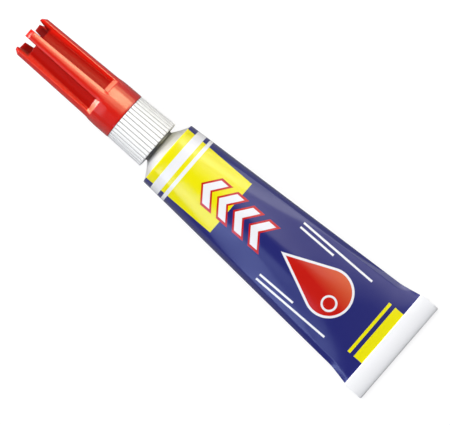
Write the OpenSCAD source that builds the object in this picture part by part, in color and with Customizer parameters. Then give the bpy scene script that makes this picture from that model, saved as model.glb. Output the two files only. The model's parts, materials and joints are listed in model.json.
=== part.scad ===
// Aluminium glue tube lying on a table, with a screw-on nozzle and a finned screw cap.
// Every piece is drawn standing on the tail end, with the tube's axis along Z and the flat tail
// across Y. The module lying() then lays it down, with the cap towards +X.

/* [Tube body] */
// Outside diameter of the body at the shoulder
body_d = 13.5; // [12:0.1:16]
// Length of the printed body, from the tail fold to the shoulder
body_len = 52.1; // [40:0.5:80]
// Thickness of the aluminium sheet
sheet_t = 0.2; // [0.14:0.02:0.3]
// Length over which the body spreads into the tail fold
flare_len = 4.2; // [2:0.1:8]
// How far each edge spreads in that length
flare_w = 0.55; // [0.2:0.05:0.8]
// Open height left inside the body where it enters the fold
throat_h = 0.5; // [0.4:0.05:0.8]
// Depth of the glue that lies in the tube, measured from the table
glue_h = 5; // [3:0.1:6]
// Room left between the glue and the sheet
glue_gap = 0.06; // [0.05:0.01:0.1]

/* [Tail fold] */
// Length of the fold along the tube
fold_len = 4.1; // [3.4:0.1:6]
// Thickness of the folded layers
fold_t = 1.2; // [1:0.05:2]
// How far the fold stands past the flattened body at each edge
fold_overhang = 0.3; // [0:0.05:0.6]
// Radius of the two outer corners of the fold
fold_corner_r = 0.5; // [0.2:0.05:1]
// Thickness of the sealing strip inside the fold
sealant_t = 0.3; // [0.2:0.05:0.5]
// Length of the sealing strip along the tube
sealant_len = 2.4; // [1.5:0.1:2.6]
// Margin between each end of the strip and the edge of the fold
sealant_margin = 1.4; // [1:0.1:3]

/* [Shoulder and neck] */
// Height of the shoulder
shoulder_h = 1.95; // [1.4:0.05:3]
// Thickness of the shoulder where it meets the neck
shoulder_t = 0.45; // [0.3:0.05:0.8]
// Height of the plain land at the foot of the neck
neck_land_h = 0.75; // [0.5:0.05:1]
// Play between that land and the collar around it
land_play = 0.13; // [0.1:0.01:0.18]
// Diameter over the neck's thread
neck_thread_d = 6.6; // [6:0.1:7.4]
// Diameter of the neck's bore
neck_bore_d = 4.2; // [3.4:0.1:4.4]
// Thickness of the foil membrane in the neck's mouth
membrane_t = 0.2; // [0.1:0.02:0.3]
// Width of the ledge that the membrane sits on
membrane_ledge = 0.3; // [0.2:0.05:0.4]

/* [Threads] */
// Distance from one thread ridge to the next
thread_pitch = 1.3; // [1.1:0.05:1.5]
// Height of a thread ridge
thread_h = 0.45; // [0.35:0.05:0.55]
// Radial play between a thread and its mate
thread_play = 0.2; // [0.15:0.01:0.24]
// Plain length left at each end of a thread
thread_margin = 0.2; // [0.1:0.05:0.3]

/* [Nozzle] */
// Gap between the shoulder's top and the collar
collar_gap = 0.43; // [0.3:0.01:0.7]
// Height of the ribbed collar
collar_h = 7.94; // [7.2:0.02:10]
// Diameter of the collar at its lower rim
collar_low_d = 9.98; // [9.6:0.02:11]
// Diameter of the collar under the cap
collar_top_d = 9.54; // [9.2:0.02:11]
// Number of grip ribs around the collar
rib_count = 36; // [24:1:48]
// Depth of the groove between two ribs
rib_groove_h = 0.15; // [0.1:0.01:0.2]
// Height of the plain rim under the ribs
rib_rim_h = 0.37; // [0.2:0.01:0.6]
// Thickness of the web across the top of the collar
web_t = 1.9; // [1.4:0.05:2.4]
// Length of the piercing spike under the web
spike_len = 1.1; // [0.9:0.05:1.5]
// Gap between the spike's tip and the membrane
spike_gap = 0.3; // [0.2:0.05:0.4]
// Diameter of the spike where it leaves the web
spike_base_d = 2; // [1.8:0.1:2.4]
// Diameter of the spike's tip
spike_tip_d = 1.3; // [1.2:0.05:1.5]
// Height of the threaded boss that carries the cap
boss_h = 3.6; // [3.2:0.1:4.2]
// Diameter over the boss's thread
boss_thread_d = 6.6; // [6.2:0.1:7]
// Diameter of the spout where it leaves the boss
spout_base_d = 4.8; // [4:0.1:5.2]
// Diameter of the spout's tip
spout_tip_d = 1.9; // [1.6:0.05:2.2]
// Diameter of the channel at the foot of the spout
channel_d = 2.4; // [1.8:0.1:3]
// Diameter of the hole in the spout's tip
orifice_d = 0.9; // [0.8:0.02:1]
// Straight length of that hole
orifice_len = 3.4; // [3:0.1:5]

/* [Neck seal] */
// Thickness of the sealing washer
seal_t = 0.4; // [0.3:0.05:0.6]
// Play between the washer and the parts around it
seal_play = 0.3; // [0.2:0.02:0.4]

/* [Cap] */
// Whole length of the cap
cap_len = 23.1; // [20:0.1:30]
// Gap between the cap's rim and the collar
seat_gap = 0.05; // [0.02:0.01:0.2]
// Diameter of the plain skirt
skirt_d = 9.66; // [9.2:0.02:11]
// Height of the plain skirt
skirt_h = 4.3; // [3.8:0.1:6]
// Height of the bevel above the skirt
skirt_bevel_h = 0.6; // [0.3:0.05:1]
// Diameter over the fins where they leave the skirt
fin_low_d = 9.2; // [8.9:0.02:9.6]
// Diameter over the fins at the crown
fin_top_d = 8.6; // [8.2:0.02:9]
// Number of fins
fin_count = 5; // [4:1:6]
// Width of a fin where it leaves the skirt
fin_low_w = 2.34; // [1.8:0.02:2.8]
// Width of a fin at its tip
fin_top_w = 1.64; // [1.2:0.02:2]
// Turn of the fins away from the top of the lying tube, in degrees
fin_turn = 3.5; // [0:0.5:36]
// Diameter of the core between the fins, above the skirt
core_low_d = 7.7; // [7.5:0.02:8.2]
// Diameter of the core at its rim
core_top_d = 6.3; // [5.6:0.02:6.8]
// Length of the slope from the skirt down to the core
flute_slope_h = 0.62; // [0.3:0.02:1]
// Step from the outside of the fins down to the upper edge of that slope
flute_lip = 0.06; // [0.03:0.01:0.12]
// Height of the prongs above the core's rim
prong_h = 2.55; // [1.5:0.05:4]
// Diameter across the inner edges of the prongs' tips
prong_inner_d = 7.3; // [6.9:0.02:7.6]
// Length of the bevel on the outside of each prong's tip
prong_bevel_h = 0.86; // [0.4:0.02:1.4]
// Flat left on each prong's tip
prong_land = 0.15; // [0.1:0.01:0.3]
// Thickness of the cap's roof above the spout
roof_t = 2.4; // [1.8:0.1:3]
// Gap between the spout's tip and the roof
tip_gap = 0.4; // [0.2:0.05:0.8]
// Room between the spout's side and the cap
spout_play = 0.5; // [0.3:0.05:0.7]

/* [Cap pin] */
// Diameter of the steel pin
pin_d = 0.7; // [0.6:0.02:0.72]
// Length of pin that reaches into the spout
pin_reach = 3; // [2:0.1:3.2]
// Play between the pin and the cap around it
pin_play = 0.04; // [0.02:0.01:0.06]
// Length of the pin's seat in the roof
pin_seat = 1.8; // [1.2:0.1:2]

/* [Hidden] */
$fn = 64;
// Sides of the sheet's rings and of the glue's rings
sheet_sides = 48;
glue_sides = 24;
// Steps of the body above the flare, of the flare, and of the shoulder's curve
body_steps = 6;
flare_steps = 4;
shoulder_steps = 8;
// Steps of a thread ridge in one turn
ridge_steps = 24;
// Power of the flare's spread and of the shoulder's hollow curve
flare_curve = 1.2;
shoulder_curve = 1.3;
// Overrun of every cut past the face that it opens
cut_over = 0.5;
// Axial width of a ridge at its foot and at its crest, as shares of the pitch
ridge_foot_share = 0.46;
ridge_crest_share = 0.23;
// Depth of a ridge's foot below the wall that carries it, as a share of its height
ridge_root_share = 0.3;
// Part of the sheet's thickness that shows on each side of the shoulder's seam
seam_share = 0.15;
// Clear tail end of the glue, as a share of the flare's length
glue_tail_share = 0.35;
// Length of the web's straight hole above the spike, as a share of the web's thickness
web_hole_share = 0.6;

// Radii
body_r = body_d / 2;
flat_half_w = PI * body_d / 4;
fold_half_w = flat_half_w + fold_overhang;
fold_r = fold_t / 2;
tail_half_h = sheet_t + throat_h / 2;
neck_thread_r = neck_thread_d / 2;
neck_root_r = neck_thread_r - thread_h;
collar_bore_r = neck_thread_r + thread_play;
collar_ridge_r = neck_root_r + thread_play;
neck_land_r = collar_bore_r - land_play;
neck_bore_r = neck_bore_d / 2;
membrane_r = neck_bore_r + membrane_ledge;
boss_thread_r = boss_thread_d / 2;
boss_root_r = boss_thread_r - thread_h;
cap_bore_r = boss_thread_r + thread_play;
cap_ridge_r = boss_root_r + thread_play;
spike_hole_r = orifice_d / 2;
pin_r = pin_d / 2;
sheet_apothem = body_r * cos(180 / sheet_sides);
shoulder_r = sheet_apothem - seam_share * sheet_t;
shoulder_in_r = body_r - sheet_t + seam_share * sheet_t;

// Heights above the tail end
shoulder_z = fold_len + body_len;
neck_z = shoulder_z + shoulder_h;
land_top = neck_z + neck_land_h;
collar_z = neck_z + collar_gap;
collar_top = collar_z + collar_h;
web_z = collar_top - web_t;
web_hole_z = web_z + web_hole_share * web_t;
spike_z = web_z - spike_len;
mouth_z = spike_z - spike_gap;
boss_top = collar_top + boss_h;
cap_z = collar_top + seat_gap;
cap_tip_z = cap_z + cap_len;
rim_z = cap_tip_z - prong_h;
roof_z = rim_z - roof_t;
tip_z = roof_z - tip_gap;
skirt_top = cap_z + skirt_h;
flute_z = skirt_top + skirt_bevel_h;
floor_z = flute_z + flute_slope_h;

// Threads
ridge_foot = ridge_foot_share * thread_pitch;
ridge_crest = ridge_crest_share * thread_pitch;
ridge_root = ridge_root_share * thread_h;
cap_starts = 2;
cap_lead = cap_starts * thread_pitch;
neck_ridge_z = land_top + thread_margin + ridge_foot / 2;
neck_ridge_len = mouth_z - thread_margin - ridge_foot / 2 - neck_ridge_z;
collar_ridge_z = neck_ridge_z + thread_pitch / 2;
collar_ridge_len = neck_ridge_len - thread_pitch;
boss_ridge_z = collar_top + thread_margin + ridge_foot / 2;
boss_ridge_len = boss_h - 2 * thread_margin - ridge_foot;
cap_ridge_z = boss_ridge_z + thread_pitch / 2;
cap_ridge_len = boss_ridge_len - thread_pitch;

// Lying attitude: the tube rests on the round edge of its fold and on the edge of its shoulder
rest_run = shoulder_z - fold_r;
lie_angle = atan2(sheet_apothem, rest_run) - asin(fold_r / norm([rest_run, sheet_apothem]));
lift = fold_r * (1 - sin(lie_angle));
prong_tip_r = prong_inner_d / 2 + prong_land;
x_mid = (cap_tip_z * cos(lie_angle) + prong_tip_r * sin(lie_angle)) / 2;

// Share of the way from the shoulder to the fold at height z
function way(z) = (shoulder_z - z) / body_len;
// Half height of the body's section at height z: a straight line from the round end to the throat
function half_h(z) = body_r + (tail_half_h - body_r) * way(z);
// Share of the flare that is passed at height z
function flare(z) = max(0, 1 - (z - fold_len) / flare_len);
// Half width of the body's section at height z: a straight line with the flare added
function half_w(z) =
    body_r + (flat_half_w - flare_w - body_r) * way(z) + flare_w * pow(flare(z), flare_curve);
// Heights of the body's rings, from the shoulder down to the fold
body_heights = concat(
    [for (i = [0 : body_steps]) shoulder_z - (body_len - flare_len) * i / body_steps],
    [for (i = [1 : flare_steps]) fold_len + flare_len * (1 - i / flare_steps)]);
// Heights of the glue's rings, from the shoulder down to the flare and on to the clear tail end
glue_flare_len = (1 - glue_tail_share) * flare_len;
glue_len = body_len - flare_len - glue_gap;
glue_heights = concat(
    [for (i = [0 : body_steps]) shoulder_z - glue_gap - glue_len * i / body_steps],
    [for (i = [1 : flare_steps]) fold_len + flare_len - glue_flare_len * i / flare_steps]);

// Ring of a section at height z that lies inset from the body's outside: two half rounds with flats between
function ring(z, inset, sides) = [for (k = [0 : sides - 1])
    let (a = (k + 0.5) * 360 / sides, h = half_h(z) - inset)
    [h * cos(a), sign(sin(a)) * (half_w(z) - half_h(z)) + h * sin(a), z]];
// Ring of the glue at height z: the inner section, cut level with the table
function glue_ring(z) =
    let (level = (z * sin(lie_angle) + lift - glue_h) / cos(lie_angle))
    [for (p = ring(z, sheet_t + glue_gap, glue_sides)) [max(p[0], level), p[1], p[2]]];
// Section of a thread ridge at angle a, with its radii and widths at the inner and the outer side
function ridge_ring(a, z, in_r, in_w, out_r, out_w) = [
    [in_r * cos(a), in_r * sin(a), z - in_w / 2],
    [out_r * cos(a), out_r * sin(a), z - out_w / 2],
    [out_r * cos(a), out_r * sin(a), z + out_w / 2],
    [in_r * cos(a), in_r * sin(a), z + in_w / 2]];

// Triangles between two rows of n points that start at a and b
function band(a, b, n) = [for (k = [0 : n - 1], t = [0, 1])
    let (m = (k + 1) % n)
    t == 0 ? [a + k, a + m, b + m] : [a + k, b + m, b + k]];

// Closed solid through a row of rings
module lofted(rings) {
    n = len(rings[0]);
    last = len(rings) - 1;
    sides = [for (i = [0 : last - 1]) each band(i * n, (i + 1) * n, n)];
    ends = [[for (k = [n - 1 : -1 : 0]) k], [for (k = [0 : n - 1]) last * n + k]];
    polyhedron([for (r = rings) each r], concat(sides, ends));
}

// Open sleeve between two rows of rings: down the outside, across the lower edge and up the inside
module sleeve(outer, inner) {
    n = len(outer[0]);
    rows = concat(outer, [for (i = [len(inner) - 1 : -1 : 0]) inner[i]]);
    faces = [for (i = [0 : len(rows) - 1]) each band(i * n, ((i + 1) % len(rows)) * n, n)];
    polyhedron([for (r = rows) each r], faces);
}

// Helical ridge from height z, right-handed, over the given length at the given lead
module ridge(z, length, lead, in_r, in_w, out_r, out_w) {
    turns = length / lead;
    steps = ceil(turns * ridge_steps);
    lofted([for (i = [0 : steps])
        ridge_ring(360 * turns * i / steps, z + length * i / steps, in_r, in_w, out_r, out_w)]);
}

// Ridge on the outside of a round wall
module outer_ridge(z, length, lead, root_r, crest_r) {
    ridge(z, length, lead, root_r - ridge_root, ridge_foot, crest_r, ridge_crest);
}

// Ridge on the inside of a round wall
module inner_ridge(z, length, lead, bore_r, crest_r) {
    ridge(z, length, lead, crest_r, ridge_crest, bore_r + ridge_root, ridge_foot);
}

// Lays a standing piece down on the table
module lying() {
    translate([-x_mid, 0, lift])
        rotate([0, 90 - lie_angle, 0])
            children();
}

// Solid of revolution from radius and height pairs
module turned(profile) {
    rotate_extrude()
        polygon(profile);
}

// Shoulder and neck: a hollow cone below a bored neck with a seat for the membrane
module shoulder_and_neck() {
    shares = [for (i = [0 : shoulder_steps]) i / shoulder_steps];
    outside = [for (s = shares) [
        shoulder_r + (neck_land_r - shoulder_r) * s,
        shoulder_z + shoulder_h * pow(s, shoulder_curve)]];
    inside = [for (s = shares) [
        neck_bore_r + (shoulder_in_r - neck_bore_r) * s,
        shoulder_z + (shoulder_h - shoulder_t) * pow(1 - s, shoulder_curve)]];
    turned(concat(
        outside,
        [[neck_land_r, land_top], [neck_root_r, land_top], [neck_root_r, mouth_z],
         [membrane_r, mouth_z], [membrane_r, mouth_z - membrane_t],
         [neck_bore_r, mouth_z - membrane_t]],
        inside));
}

module tube_shell() {
    color("#2d3077") lying() {
        sleeve([for (z = body_heights) ring(z, 0, sheet_sides)],
               [for (z = body_heights) ring(z, sheet_t, sheet_sides)]);
        shoulder_and_neck();
        outer_ridge(neck_ridge_z, neck_ridge_len, thread_pitch, neck_root_r, neck_thread_r);
    }
}

// Outline of the fold seen from above: a strip with two round outer corners
module fold_outline() {
    inner_half_w = fold_half_w - fold_corner_r;
    translate([-fold_half_w, fold_corner_r])
        square([2 * fold_half_w, fold_len - fold_corner_r]);
    translate([-inner_half_w, 0])
        square([2 * inner_half_w, fold_len]);
    for (side = [-1, 1])
        translate([side * inner_half_w, fold_corner_r])
            circle(r = fold_corner_r);
}

// Section of the fold along the tube: a bar with a round outer edge
module fold_section() {
    translate([0, fold_r])
        circle(r = fold_r);
    translate([-fold_r, fold_r])
        square([fold_t, fold_len - fold_r]);
}

// Room for the sealing strip, open towards the body
module sealant_strip(over) {
    half_w = fold_half_w - sealant_margin;
    translate([-sealant_t / 2, -half_w, fold_len - sealant_len])
        cube([sealant_t, 2 * half_w, sealant_len + over]);
}

module tail_fold() {
    color("white") lying() difference() {
        intersection() {
            rotate([90, 0, 0])
                linear_extrude(2 * fold_half_w, center = true)
                    fold_section();
            rotate([90, 0, 90])
                linear_extrude(fold_t + cut_over, center = true)
                    fold_outline();
        }
        sealant_strip(cut_over);
    }
}

module tail_sealant() {
    color("burlywood") lying()
        sealant_strip(0);
}

module neck_membrane() {
    color("silver") lying()
        translate([0, 0, mouth_z - membrane_t])
            cylinder(r = membrane_r - pin_play, h = membrane_t);
}

module glue_fill() {
    color("lightyellow") lying()
        lofted([for (z = glue_heights) glue_ring(z)]);
}

module neck_seal() {
    color("gainsboro") lying()
        translate([0, 0, web_z - seat_gap - seal_t])
            difference() {
                cylinder(r = collar_bore_r - seal_play, h = seal_t);
                translate([0, 0, -cut_over])
                    cylinder(r = spike_base_d / 2 + seal_play, h = seal_t + 2 * cut_over);
            }
}

// Grooves between the ribs, laid along the collar's slope
module rib_grooves() {
    slope = atan2((collar_low_d - collar_top_d) / 2, collar_h);
    low_r = collar_low_d / 2;
    for (k = [0 : rib_count - 1])
        rotate([0, 0, 360 * k / rib_count])
            translate([low_r, 0, collar_z])
                rotate([0, -slope, 0])
                    translate([0, 0, rib_rim_h])
                        cylinder(r = rib_groove_h, h = collar_h + cut_over, $fn = 4);
}

module nozzle() {
    profile = [
        [collar_bore_r, collar_z], [collar_low_d / 2, collar_z],
        [collar_top_d / 2, collar_top], [boss_root_r, collar_top],
        [boss_root_r, boss_top], [spout_base_d / 2, boss_top],
        [spout_tip_d / 2, tip_z], [orifice_d / 2, tip_z],
        [orifice_d / 2, tip_z - orifice_len], [channel_d / 2, boss_top],
        [channel_d / 2, web_hole_z], [spike_hole_r, web_hole_z],
        [spike_hole_r, spike_z], [spike_tip_d / 2, spike_z],
        [spike_base_d / 2, web_z], [collar_bore_r, web_z]];
    color("whitesmoke") lying() {
        difference() {
            turned(profile);
            rib_grooves();
        }
        inner_ridge(collar_ridge_z, collar_ridge_len, thread_pitch, collar_bore_r, collar_ridge_r);
        for (start = [0 : cap_starts - 1])
            rotate([0, 0, 360 * start / cap_starts])
                outer_ridge(boss_ridge_z, boss_ridge_len, cap_lead, boss_root_r, boss_thread_r);
    }
}

module cap_pin() {
    color("lightsteelblue") lying()
        translate([0, 0, tip_z - pin_reach])
            cylinder(r = pin_r, h = pin_reach + tip_gap + pin_seat);
}

// Ring that all fins are cut from: a cone outside, with a crown of sloping tips
module fin_ring() {
    top_r = fin_top_d / 2;
    turned([
        [cap_bore_r, skirt_top], [fin_low_d / 2, skirt_top], [fin_low_d / 2, flute_z],
        [top_r, cap_tip_z - prong_bevel_h], [prong_tip_r, cap_tip_z],
        [prong_inner_d / 2, cap_tip_z], [core_top_d / 2, rim_z], [core_top_d / 4, rim_z]]);
}

// Wedge that cuts one fin from that ring
module fin_wedge() {
    reach = skirt_d / 2 + cut_over;
    rotate([90, 0, 90])
        linear_extrude(reach)
            polygon([
                [-fin_low_w / 2, skirt_top], [fin_low_w / 2, skirt_top],
                [fin_top_w / 2, cap_tip_z + cut_over], [-fin_top_w / 2, cap_tip_z + cut_over]]);
}

// Hollow of the cap: threaded bore, room for the spout, and the seat of the pin
module cap_hollow() {
    bore_top = boss_top + tip_gap;
    turned([
        [0, cap_z - cut_over], [cap_bore_r, cap_z - cut_over], [cap_bore_r, bore_top],
        [spout_base_d / 2 + spout_play, bore_top], [spout_tip_d / 2 + spout_play, roof_z],
        [pin_r + pin_play, roof_z], [pin_r + pin_play, roof_z + pin_seat], [0, roof_z + pin_seat]]);
}

module cap_shell() {
    core = [
        [0, cap_z], [skirt_d / 2, cap_z], [skirt_d / 2, skirt_top],
        [fin_low_d / 2 - flute_lip, flute_z], [core_low_d / 2, floor_z],
        [core_top_d / 2, rim_z], [0, rim_z]];
    color("#d62a19") lying() {
        difference() {
            union() {
                turned(core);
                for (k = [0 : fin_count - 1])
                    rotate([0, 0, 180 + fin_turn + 360 * k / fin_count])
                        intersection() {
                            fin_ring();
                            fin_wedge();
                        }
            }
            cap_hollow();
        }
        for (start = [0 : cap_starts - 1])
            rotate([0, 0, 360 * start / cap_starts])
                inner_ridge(cap_ridge_z, cap_ridge_len, cap_lead, cap_bore_r, cap_ridge_r);
    }
}

tube_shell();
tail_fold();
tail_sealant();
neck_membrane();
glue_fill();
neck_seal();
nozzle();
cap_pin();
cap_shell();
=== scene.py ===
"""Looks of a lying glue tube: printed sheet, white tail fold, ribbed nozzle and finned red cap.

Sizes are in millimetres on the tube's own axes: along its axis from the tail end, across its flat tail,
and up from its printed face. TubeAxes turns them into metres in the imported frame.
"""
import json
import logging
import math
from abc import ABC, abstractmethod
from dataclasses import dataclass
from enum import Enum

import bpy
import numpy as np
from mathutils import Matrix


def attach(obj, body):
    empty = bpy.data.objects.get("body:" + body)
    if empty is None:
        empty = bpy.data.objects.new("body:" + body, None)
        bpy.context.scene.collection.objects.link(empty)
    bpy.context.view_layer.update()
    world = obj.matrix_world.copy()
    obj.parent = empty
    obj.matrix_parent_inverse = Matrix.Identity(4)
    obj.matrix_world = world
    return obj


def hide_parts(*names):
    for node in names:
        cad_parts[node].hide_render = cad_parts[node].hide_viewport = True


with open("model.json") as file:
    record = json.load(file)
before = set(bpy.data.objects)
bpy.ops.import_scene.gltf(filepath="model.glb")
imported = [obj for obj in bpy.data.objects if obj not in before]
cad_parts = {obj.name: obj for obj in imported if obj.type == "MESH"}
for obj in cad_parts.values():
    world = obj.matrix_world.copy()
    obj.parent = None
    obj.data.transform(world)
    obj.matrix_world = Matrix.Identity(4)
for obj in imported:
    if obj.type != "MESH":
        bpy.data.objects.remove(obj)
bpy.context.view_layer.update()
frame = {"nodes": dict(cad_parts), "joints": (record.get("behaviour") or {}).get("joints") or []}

log = logging.getLogger("glue_tube")

MM = 0.001
ARC_STEPS = 5
SIDE_SHARE = 0.48
SHARP_ANGLE = math.radians(38)
TINY = 1e-9
RIB_COUNT = 36
FIN_COUNT = 5
FIN_TURN = -2.5
HINGE_ALONG = 61.0


@dataclass(frozen=True)
class TubeAxes:
    """The tube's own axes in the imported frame, with its origin at the tail end."""

    origin: np.ndarray
    along: np.ndarray
    across: np.ndarray
    up: np.ndarray

    @classmethod
    def from_hinge(cls, joint: dict, distance: float) -> "TubeAxes":
        """Finds the axes from a hinge that lies on the tube's axis.

        Args:
            joint: The hinge, as the record states it.
            distance: How far its point lies from the tail end, in millimetres.

        Returns:
            The axes, with the print facing up.
        """
        along = np.array(joint["axis"], float)
        along /= np.linalg.norm(along)
        across = np.array([0.0, 1.0, 0.0])
        origin = np.array(joint["pos_m"], float) / MM - distance * along
        return cls(origin, along, across, np.cross(along, across))

    @property
    def tilt(self) -> float:
        """Angle of the axis above the table, in radians."""
        return math.atan2(self.along[2], self.along[0])

    @property
    def shift(self) -> tuple[float, float, float]:
        """What is added to turned millimetres so that they count from the tail end."""
        return tuple(float(-self.origin @ axis) for axis in (self.along, self.across, self.up))

    def place(self, along: np.ndarray, across: np.ndarray, up: np.ndarray) -> np.ndarray:
        """Places points given on the tube's axes.

        Args:
            along: Millimetres from the tail end.
            across: Millimetres across the flat tail.
            up: Millimetres up from the axis.

        Returns:
            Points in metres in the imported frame, with the coordinate as the last axis.
        """
        shares = np.stack(np.broadcast_arrays(along, across, up), axis=-1)
        return MM * (self.origin + shares @ np.stack([self.along, self.across, self.up]))

    def turn(self, along: np.ndarray, radius: np.ndarray, angle: np.ndarray) -> np.ndarray:
        """Places points given by radius and angle, with the angle counted from up towards across."""
        return self.place(along, radius * np.sin(angle), radius * np.cos(angle))


class Ends(Enum):
    """How a grid of rings is closed."""

    POLES = "poles"
    FACES = "faces"
    LOOP = "loop"


@dataclass
class Surface:
    """A grid of points whose rows are closed rings; its ends are closed as Ends says."""

    points: np.ndarray
    ends: Ends = Ends.POLES

    def build(self, name: str) -> bpy.types.Object:
        """Makes the grid a closed mesh whose faces point outwards, smooth but for its sharp edges.

        Args:
            name: Name of the object and of its mesh.

        Returns:
            The object, linked to the scene.
        """
        rows, columns = self.points.shape[:2]
        index = np.arange(rows * columns).reshape(rows, columns)
        low = index if self.ends is Ends.LOOP else index[:-1]
        high = np.roll(index, -1, axis=0)[: len(low)]
        quads = np.stack([low, np.roll(low, -1, axis=1), np.roll(high, -1, axis=1), high], axis=-1)
        faces = quads.reshape(-1, 4).tolist()
        points = self.points.reshape(-1, 3)
        if self.ends is Ends.POLES:
            poles = self.points[[0, -1]].mean(axis=1)
            points = np.concatenate([points, poles])
            first, last = rows * columns, rows * columns + 1
            faces += [[b, a, first] for a, b in zip(index[0], np.roll(index[0], -1))]
            faces += [[a, b, last] for a, b in zip(index[-1], np.roll(index[-1], -1))]
        elif self.ends is Ends.FACES:
            faces += [index[0][::-1].tolist(), index[-1].tolist()]
        middle = points.mean(axis=0)
        a, b, c, d = (points[quads.reshape(-1, 4)[:, k]] - middle for k in range(4))
        volume = np.einsum("ij,ij->", a, np.cross(b, c) + np.cross(c, d))
        if volume < 0:
            faces = [face[::-1] for face in faces]
        mesh = bpy.data.meshes.new(name)
        mesh.from_pydata(points.tolist(), [], faces)
        mesh.polygons.foreach_set("use_smooth", np.ones(len(faces), bool))
        mesh.update()
        mesh.set_sharp_from_angle(angle=SHARP_ANGLE)
        shape = bpy.data.objects.new(name, mesh)
        bpy.context.scene.collection.objects.link(shape)
        return shape


class Relief(Enum):
    """What is raised or cut on the run that starts at a corner."""

    NONE = 0
    OUTER_THREAD = 1
    INNER_THREAD = 2
    RIBS = 3


@dataclass(frozen=True)
class Corner:
    """A corner of a meridian: its place, its rounding, and the run that starts there."""

    along: float
    radius: float
    fillet: float = 0.0
    step: float = math.inf
    relief: Relief = Relief.NONE


def rounded(before: np.ndarray, corner: np.ndarray, after: np.ndarray, radius: float) -> np.ndarray:
    """Rounds one corner of a polyline with a circular arc, written as a rational curve.

    Args:
        before: The point before the corner.
        corner: The corner.
        after: The point after it.
        radius: Radius of the arc, cut down where it would take more than its share of a side.

    Returns:
        Points along the arc, from the first side to the second.
    """
    back, ahead = before - corner, after - corner
    back_len, ahead_len = np.linalg.norm(back), np.linalg.norm(ahead)
    back, ahead = back / back_len, ahead / ahead_len
    half = 0.5 * math.acos(float(np.clip(back @ ahead, -1, 1)))
    reach = min(radius / math.tan(half), SIDE_SHARE * back_len, SIDE_SHARE * ahead_len)
    t = np.linspace(0, 1, ARC_STEPS + 1)[:, None]
    weights = (1 - t) ** 2, 2 * math.sin(half) * t * (1 - t), t**2
    spots = corner + reach * back, corner, corner + reach * ahead
    return sum(w * p for w, p in zip(weights, spots)) / sum(weights)


def trace(corners: list[Corner], looped: bool = False) -> tuple[np.ndarray, np.ndarray, np.ndarray]:
    """Follows a meridian through its corners: arcs at rounded corners, even steps on the runs between.

    Args:
        corners: The corners in order.
        looped: Whether the last corner joins the first.

    Returns:
        Places along the axis, radii, and the relief number of each point.
    """
    spots = np.array([(c.along, c.radius) for c in corners])
    count = len(corners)
    arcs = []
    for i, corner in enumerate(corners):
        at_end = not looped and i in (0, count - 1)
        if corner.fillet and not at_end:
            arcs.append(rounded(spots[i - 1], spots[i], spots[(i + 1) % count], corner.fillet))
        else:
            arcs.append(spots[i : i + 1])
    points, reliefs = [], []
    for i, corner in enumerate(corners):
        points.append(arcs[i])
        reliefs.append(np.full(len(arcs[i]), corner.relief.value))
        if looped or i < count - 1:
            start, end = arcs[i][-1], arcs[(i + 1) % count][0]
            steps = max(1, math.ceil(np.linalg.norm(end - start) / corner.step))
            run = start + (end - start) * np.linspace(0, 1, steps + 1)[1:-1, None]
            points.append(run)
            reliefs.append(np.full(len(run), corner.relief.value))
    line = np.concatenate(points)
    return line[:, 0], line[:, 1], np.concatenate(reliefs)


def smooth(x: np.ndarray) -> np.ndarray:
    """Eases a share from 0 to 1 with level ends."""
    x = np.clip(x, 0, 1)
    return x * x * (3 - 2 * x)


@dataclass(frozen=True)
class Thread:
    """Right-handed helical ridges, all of one pitch."""

    first: float
    length: float
    height: float
    pitch: float = 1.3
    starts: int = 1
    foot_share: float = 0.46
    crest_share: float = 0.23
    fade: float = 0.5

    def rise(self, along: np.ndarray, angle: np.ndarray) -> np.ndarray:
        """Height of the ridges: a rounded trapezoid across each ridge, fading out at both ends.

        Args:
            along: Millimetres from the tail end.
            angle: Angle from up towards across, in radians.

        Returns:
            Heights in millimetres at those points.
        """
        lead = self.starts * self.pitch
        turns = (along - self.first - lead * (math.pi - angle) / math.tau) / self.pitch
        off = np.abs(turns - np.round(turns))
        flank = (self.foot_share - self.crest_share) / 2
        ridge = smooth((self.foot_share / 2 - off) / flank)
        room = np.minimum(along - self.first, self.first + self.length - along)
        return self.height * ridge * smooth(room / self.fade + 0.5)


def srgb(red: float, green: float, blue: float) -> tuple[float, float, float, float]:
    """Turns a colour as screens show it into the linear values that a shader takes.

    Args:
        red: Red, from 0 to 255.
        green: Green, from 0 to 255.
        blue: Blue, from 0 to 255.

    Returns:
        Linear red, green and blue from 0 to 1, and full cover.
    """
    levels = (c / 255 for c in (red, green, blue))
    linear = (c / 12.92 if c <= 0.04045 else ((c + 0.055) / 1.055) ** 2.4 for c in levels)
    return (*linear, 1.0)


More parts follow.
